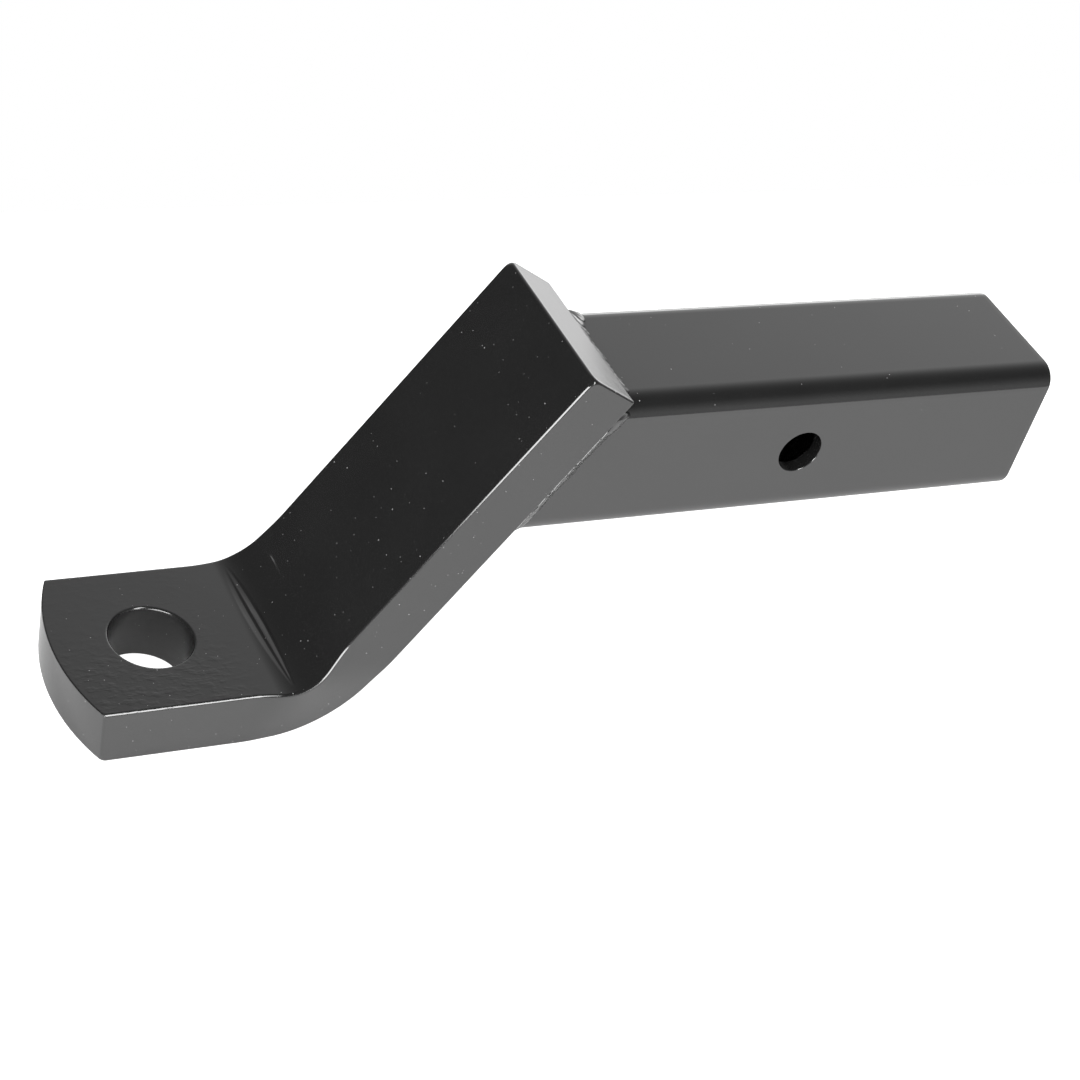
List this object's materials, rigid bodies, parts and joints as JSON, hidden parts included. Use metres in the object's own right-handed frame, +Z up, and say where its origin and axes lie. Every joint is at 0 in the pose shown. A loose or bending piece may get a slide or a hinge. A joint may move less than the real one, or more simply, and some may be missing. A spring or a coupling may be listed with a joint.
{
  "type": "ball mount",
  "caption": "Drop ball mount: a thick flat bar bent once, with a ball hole in its level end, welded to a hollow square shank with a cross hole for the hitch pin.",
  "frame": {"origin": "centre of the hitch pin hole, halfway between the shank's two side walls and halfway up the shank", "axes": "+X along the shank to its open end, +Y along the pin hole to the left when looking along +X, +Z up, square to the ball platform"},
  "size_m": [0.3275, 0.0668, 0.1366],
  "materials": {
    "coated_steel": "gloss black powder coat with a faint orange peel",
    "coated_weld": "gloss black powder coat over a rippled weld"
  },
  "bodies": {
    "root": {"ball_bar": "coated_steel", "shank_tube": "coated_steel", "top_weld": "coated_weld", "bottom_weld": "coated_weld", "left_weld": "coated_weld", "right_weld": "coated_weld"}
  },
  "joints": []
}
